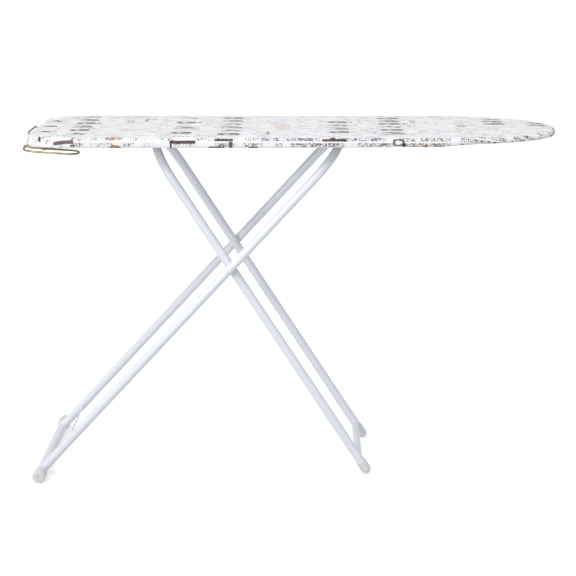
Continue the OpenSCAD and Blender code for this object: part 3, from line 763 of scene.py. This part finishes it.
def make_spring():
    """The lever's torsion spring, at the place of its CAD solid."""
    low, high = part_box("lever_spring")
    pin = Vector(next(j["pos_m"] for j in frame["joints"] if j["name"] == "height_lever"))
    coil_r, turns, wire_r, per_turn = 4.6 * MM, 4, 0.6 * MM, 24
    path = [Vector((low.x + wire_r, 4.4 * MM, pin.z + coil_r))]
    for step in range(turns * per_turn + 1):
        a = math.tau * step / per_turn
        along_pin = (5 + 5 * step / (per_turn * turns)) * MM
        path.append(pin + Vector((coil_r * math.sin(a), along_pin, coil_r * math.cos(a))))
    path.append(Vector((high.x - wire_r, 10 * MM, pin.z + coil_r)))
    points, faces = tube(path, wire_r, 12)
    new_piece("torsion_spring", points, faces, "plated_steel", "board", ["lever_spring"])


def weld_bead(name, place, ring, radius, slot, body, seed):
    """A weld: a bead laid in small steps round a joint's seam."""
    sides = 10
    points, faces = tube(ring, radius, sides, closed=True)
    for i, here in enumerate(ring):
        swell = 1 + 0.16 * math.sin(i * math.tau / 5 + seed)
        for k in range(i * sides, (i + 1) * sides):
            points[k] = here + (points[k] - here) * swell
    new_piece(name, [place @ p for p in points], faces, slot, body)


def make_welds():
    """Beads where the brace, stay and foot tubes meet the leg tubes."""
    steps = 60
    angles = [math.tau * k / steps for k in range(steps)]
    for side, word in ((-1, "near"), (1, "far")):
        ring = []
        for a in angles:
            x, z = BRACE_R * math.cos(a), BRACE_R * math.sin(a)
            ring.append(Vector((x, side * (INNER_HALF - math.sqrt(TUBE_R ** 2 - x * x)), z - BRACE_REACH)))
        weld_bead(f"brace_weld_{word}", ON_INNER, ring, 1.1 * MM, "leg_paint", "inner_leg", side)
        ring = []
        for a in angles:
            x, z = STAY_R * math.cos(a), STAY_R * math.sin(a)
            ring.append(Vector((x, side * (OUTER_HALF - math.sqrt(TUBE_R ** 2 - x * x)), z - STAY_REACH)))
        weld_bead(f"stay_weld_{word}", ON_OUTER, ring, 0.7 * MM, "leg_paint", "outer_leg", side)
        ring = []
        for a in angles:
            x, y = TUBE_R * math.cos(a), TUBE_R * math.sin(a)
            ring.append(Vector((x, side * OUTER_HALF + y, math.sqrt(FOOT_R ** 2 - x * x) - FOOT_REACH)))
        weld_bead(f"foot_weld_{word}", ON_OUTER, ring, 1.1 * MM, "leg_paint", "outer_leg", side)


# ---- CAD nodes keep their shape and get a finish ----


def finish_cad_nodes():
    """Gives each CAD node the material that its record row names."""
    for row in frame["record"]["subparts"]:
        node = frame["nodes"][row["node"]]
        node.data.materials.clear()
        node.data.materials.append(MATERIALS[row["material_slot"]])


# ---- Camera, light and floor ----


def make_camera():
    data = bpy.data.cameras.new("camera")
    data.lens = 86.91
    data.sensor_width = 36
    camera = bpy.data.objects.new("camera", data)
    camera.location = (0.0258, -2.9473, 1.1914)
    camera.rotation_euler = (math.radians(74.8), 0, math.radians(0.66))
    bpy.context.scene.collection.objects.link(camera)
    bpy.context.scene.camera = camera


def lamp(name, kind, power, aim_from, angle_or_size, aim_at=(0, 0, 0.45)):
    """A lamp that shines from aim_from towards a point of the object."""
    data = bpy.data.lights.new(name, kind)
    data.energy = power
    if kind == "SUN":
        data.angle = angle_or_size
    elif kind == "SPOT":
        data.spot_size = angle_or_size
        data.spot_blend = 1.0
        data.shadow_soft_size = 0.5
    else:
        data.shape = "DISK"
        data.size = angle_or_size
    light = bpy.data.objects.new(name, data)
    light.location = aim_from
    light.rotation_euler = (Vector(aim_at) - Vector(aim_from)).to_track_quat("-Z", "Y").to_euler()
    bpy.context.scene.collection.objects.link(light)


def make_studio():
    """A faintly glowing white floor, an even white surround, and three lamps.

    A broad overhead one does most, a weak fill lights the near tubes, and a spot their upper ends.
    """
    shader = Shader("studio_floor")
    shader.set(Base_Color=rgb(0.8, 0.8, 0.8), Roughness=0.95, Specular_IOR_Level=0.0)
    shader.set(Emission_Color=rgb(1.0, 1.0, 1.0), Emission_Strength=0.42)
    mesh = bpy.data.meshes.new("floor")
    reach = 60
    corners = [(-reach, -reach, 0), (reach, -reach, 0), (reach, reach, 0), (-reach, reach, 0)]
    mesh.from_pydata(corners, [], [(0, 1, 2, 3)])
    floor = bpy.data.objects.new("floor", mesh)
    mesh.materials.append(shader.material)
    bpy.context.scene.collection.objects.link(floor)
    floor.visible_diffuse = False
    world = bpy.data.worlds.new("studio")
    world.use_nodes = True
    background = world.node_tree.nodes["Background"]
    background.inputs["Color"].default_value = rgb(1.0, 1.0, 1.0)
    background.inputs["Strength"].default_value = 0.58
    bpy.context.scene.world = world
    lamp("overhead", "SUN", 1.5, (-1.2, -1.6, 3.2), math.radians(50))
    fill_from = (-1.6, -3.0, 1.3)
    lamp("front_fill", "AREA", 7, fill_from, 1.6)
    lamp("upper_fill", "SPOT", 110, fill_from, math.radians(30), (-0.02, 0, 0.72))
    bpy.context.scene.view_settings.view_transform = "Standard"


make_camera()
make_cover()
make_pad()
make_elastic()
make_stitches()
make_panel()
make_rest_wire()
make_spring()
make_welds()
finish_cad_nodes()
make_studio()
